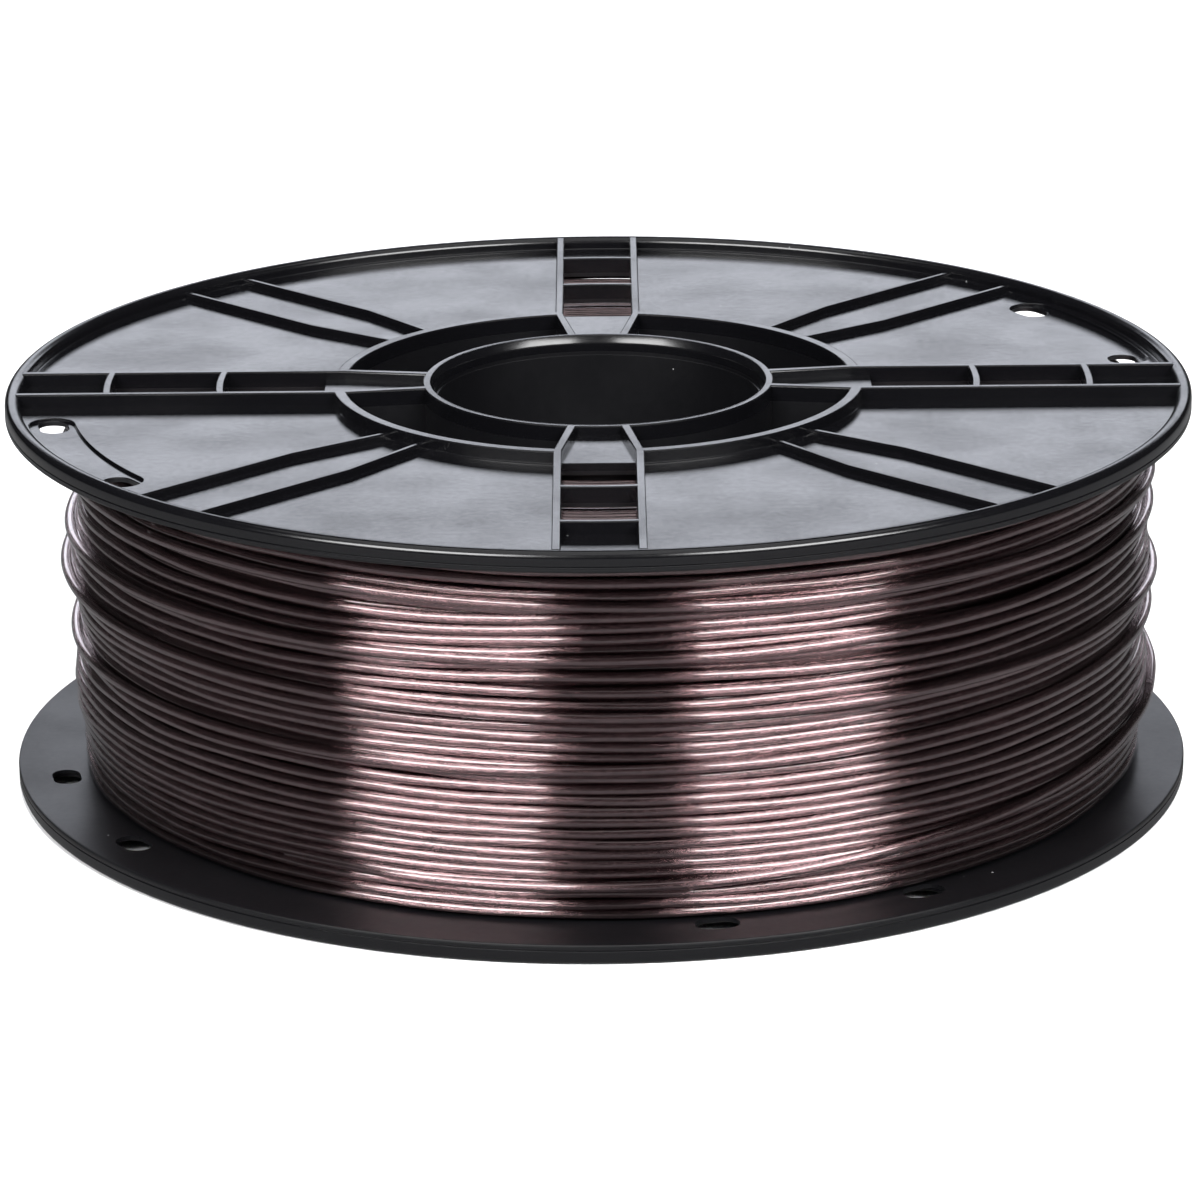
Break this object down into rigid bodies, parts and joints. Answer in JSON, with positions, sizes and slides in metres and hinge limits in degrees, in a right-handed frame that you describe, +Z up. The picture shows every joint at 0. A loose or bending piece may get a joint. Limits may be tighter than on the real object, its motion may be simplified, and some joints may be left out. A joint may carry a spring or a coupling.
{
  "type": "filament spool",
  "caption": "Two-part moulded spool with ribbed, windowed flanges and a hollow hub, wound full with a glossy strand whose end is held by a pair of rim holes.",
  "frame": {"origin": "on the spool's axis, in the plane of the lower flange's outer rim", "axes": "+Z up the spool's axis to the upper flange, +X along a spoke"},
  "size_m": [0.2, 0.2, 0.0676],
  "materials": {
    "spool_plastic": "black, polished mould finish, fine scuffs and dust",
    "filament": "silky mauve-brown, pearlescent"
  },
  "bodies": {
    "root": {"upper_half": "spool_plastic", "lower_half": "spool_plastic", "filament_winding": "filament", "filament_end": "filament"}
  },
  "joints": []
}
